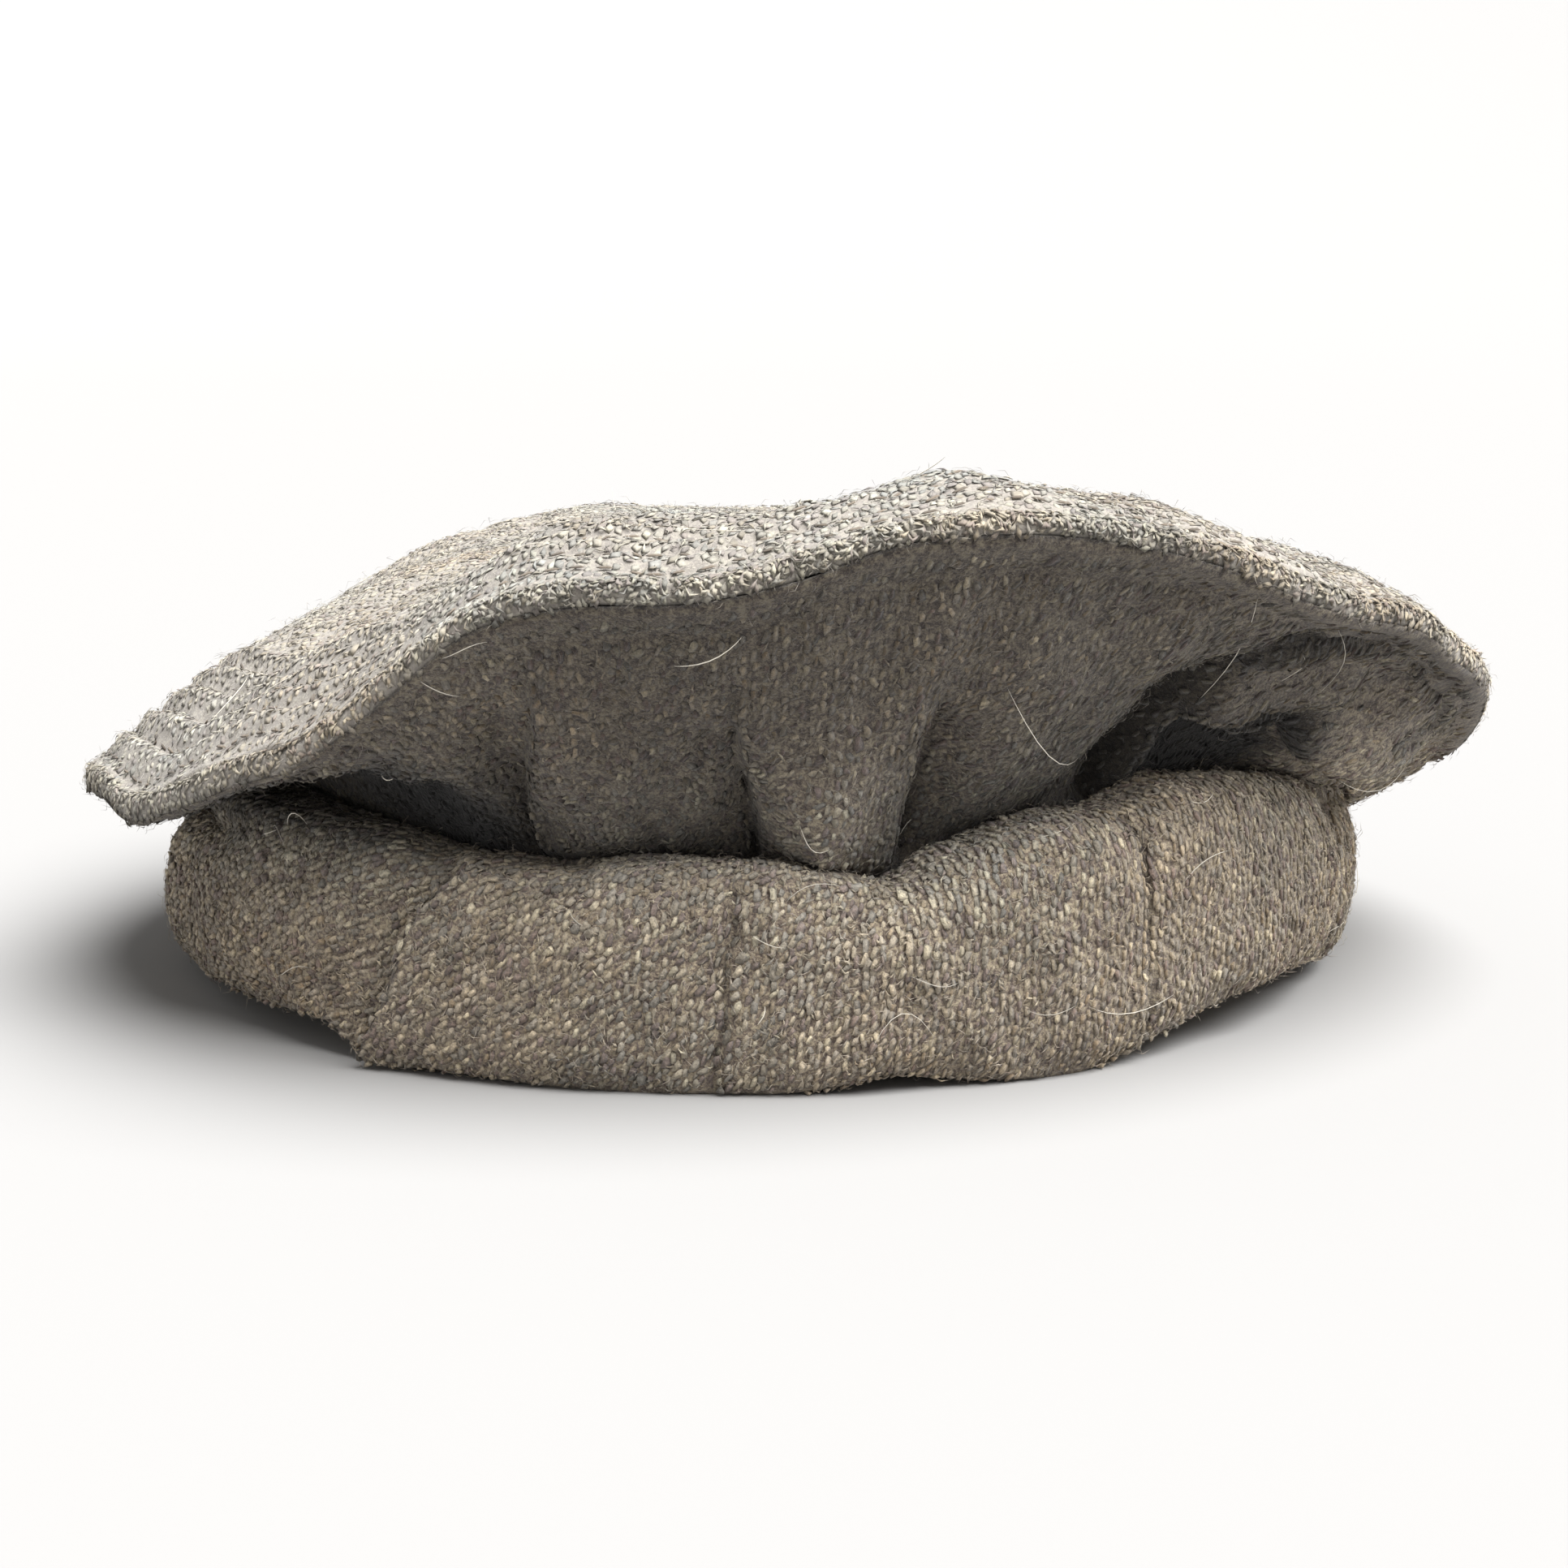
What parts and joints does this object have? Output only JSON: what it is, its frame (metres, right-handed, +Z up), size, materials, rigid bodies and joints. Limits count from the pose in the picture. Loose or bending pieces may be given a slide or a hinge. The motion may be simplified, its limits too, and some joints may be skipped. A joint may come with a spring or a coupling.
{
  "type": "pakol",
  "caption": "Soft round wool cap with a flat, slumped round top, a gathered side wall and a thick rolled brim round an open head hole.",
  "frame": {"origin": "on the table that the cap rests on, under the middle of the whole cap", "axes": "+Z up out of the crown, -Y towards the side that the picture shows as the front, +X to the right of someone looking at that side"},
  "size_m": [0.2768, 0.2734, 0.105],
  "materials": {
    "crown_wool": "matt hand-woven wool, melange cream, beige and grey, lightly felted",
    "wall_wool": "matt hand-woven wool, melange grey and brown, felted smoother than the top",
    "brim_wool": "matt hand-woven wool, melange beige, grey and brown, with a clear slanted weave"
  },
  "bodies": {
    "root": {"crown_top": "crown_wool", "side_wall": "wall_wool", "rolled_brim": "brim_wool"}
  },
  "joints": []
}
